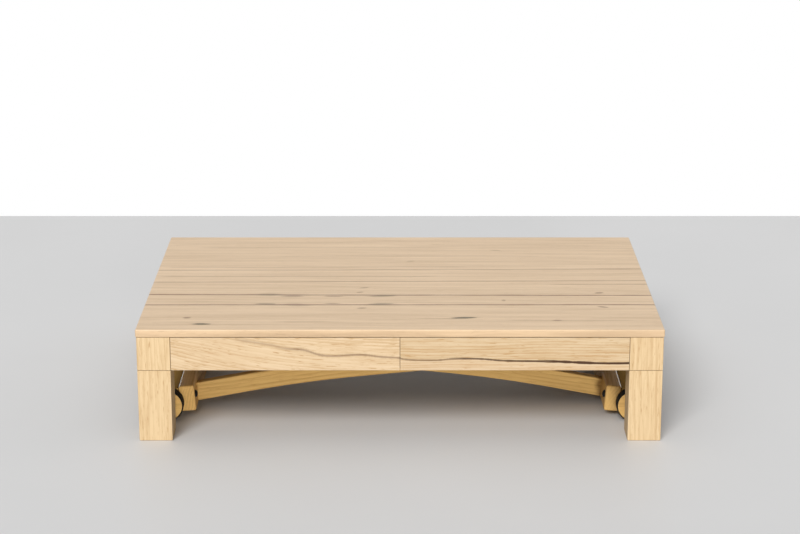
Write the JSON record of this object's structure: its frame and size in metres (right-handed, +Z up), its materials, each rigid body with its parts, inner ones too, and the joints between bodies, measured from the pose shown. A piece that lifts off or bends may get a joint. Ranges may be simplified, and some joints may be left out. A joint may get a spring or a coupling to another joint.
{
  "type": "lifting coffee table",
  "caption": "Low rectangular oak table with a shallow drawer box on square stub legs; crossed wheeled frames under it rise to bring the top to dining height.",
  "frame": {"origin": "on the floor, under the middle of the top, with the table folded down on its legs", "axes": "+X along the length to the right seen from the front, +Y from the front to the back, +Z up"},
  "size_m": [1.2, 0.8, 0.268],
  "materials": {
    "oak_top": "knotty pale oak boards with a satin oil finish",
    "oak_body": "pale oak with a satin oil finish",
    "oak_frame": "pale oak with softened edges, satin",
    "oak_inside": "planed pale oak, unfinished",
    "black_steel": "satin black",
    "bright_steel": "drawn bright bar",
    "tyre_rubber": "matt black"
  },
  "bodies": {
    "right_axle": {"right_axle": "bright_steel"},
    "inner_frame": {"inner_arm_front": "oak_frame", "inner_arm_rear": "oak_frame", "right_beam": "oak_frame", "right_axle_rail": "oak_frame", "slide_bar": "bright_steel", "right_beam_bolt_front": "black_steel", "right_beam_bolt_rear": "black_steel"},
    "outer_frame": {"outer_arm_front": "oak_frame", "outer_arm_rear": "oak_frame", "left_beam": "oak_frame", "left_axle_rail": "oak_frame", "hinge_bar": "bright_steel", "left_axle": "bright_steel", "left_beam_bolt_front": "black_steel", "left_beam_bolt_rear": "black_steel", "pivot_pin_front": "black_steel", "pivot_pin_rear": "black_steel", "pivot_washer_front": "black_steel", "pivot_washer_rear": "black_steel", "pivot_nut_front": "black_steel", "pivot_nut_rear": "black_steel"},
    "table": {"table_top": "oak_top", "corner_block_front_left": "oak_body", "corner_block_front_right": "oak_body", "corner_block_rear_left": "oak_body", "corner_block_rear_right": "oak_body", "leg_front_left": "oak_body", "leg_front_right": "oak_body", "leg_rear_left": "oak_body", "leg_rear_right": "oak_body", "side_apron_left": "oak_body", "side_apron_right": "oak_body", "rear_apron": "oak_body", "inner_rail": "oak_inside", "centre_runner": "oak_inside", "side_runner_left": "oak_inside", "side_runner_right": "oak_inside", "rack_front": "oak_frame", "rack_rear": "oak_frame", "hinge_block_front": "oak_frame", "hinge_block_rear": "oak_frame"},
    "drawer_left": {"drawer_left_front": "oak_body", "drawer_left_outer_side": "oak_inside", "drawer_left_inner_side": "oak_inside", "drawer_left_back": "oak_inside", "drawer_left_bottom": "oak_inside"},
    "drawer_right": {"drawer_right_front": "oak_body", "drawer_right_outer_side": "oak_inside", "drawer_right_inner_side": "oak_inside", "drawer_right_back": "oak_inside", "drawer_right_bottom": "oak_inside"},
    "wheel_front_left": {"wheel_front_left": "oak_frame", "tyre_front_left": "tyre_rubber"},
    "wheel_front_right": {"wheel_front_right": "oak_frame", "tyre_front_right": "tyre_rubber"},
    "wheel_rear_left": {"wheel_rear_left": "oak_frame", "tyre_rear_left": "tyre_rubber"},
    "wheel_rear_right": {"wheel_rear_right": "oak_frame", "tyre_rear_right": "tyre_rubber"}
  },
  "joints": [
    {"name": "lift", "type": "hinge", "parent": "right_axle", "child": "inner_frame", "pos_m": [0.547, 0, 0.038], "axis": [0, 1, 0], "range_deg": [0, 27]},
    {"name": "cross", "type": "hinge", "parent": "inner_frame", "child": "outer_frame", "pos_m": [0, 0, 0.11275], "axis": [0, 1, 0], "range_deg": [-54, 0]},
    {"name": "level", "type": "hinge", "parent": "outer_frame", "child": "table", "pos_m": [0.547, 0, 0.1875], "axis": [0, 1, 0], "range_deg": [0, 27]},
    {"name": "wheel_front_left_turn", "type": "hinge", "parent": "outer_frame", "child": "wheel_front_left", "pos_m": [-0.547, -0.238, 0.038], "axis": [0, 1, 0], "continuous": true},
    {"name": "wheel_front_right_turn", "type": "hinge", "parent": "right_axle", "child": "wheel_front_right", "pos_m": [0.547, -0.238, 0.038], "axis": [0, 1, 0], "continuous": true},
    {"name": "wheel_rear_left_turn", "type": "hinge", "parent": "outer_frame", "child": "wheel_rear_left", "pos_m": [-0.547, 0.238, 0.038], "axis": [0, 1, 0], "continuous": true},
    {"name": "wheel_rear_right_turn", "type": "hinge", "parent": "right_axle", "child": "wheel_rear_right", "pos_m": [0.547, 0.238, 0.038], "axis": [0, 1, 0], "continuous": true},
    {"name": "drawer_left_slide", "type": "slide", "parent": "table", "child": "drawer_left", "axis": [0, -1, 0], "range_m": [0, 0.14]},
    {"name": "drawer_right_slide", "type": "slide", "parent": "table", "child": "drawer_right", "axis": [0, -1, 0], "range_m": [0, 0.14]}
  ],
  "couplings": [
    {"joint": "cross", "follows": "lift", "ratio": -2},
    {"joint": "level", "follows": "lift", "ratio": 1}
  ]
}
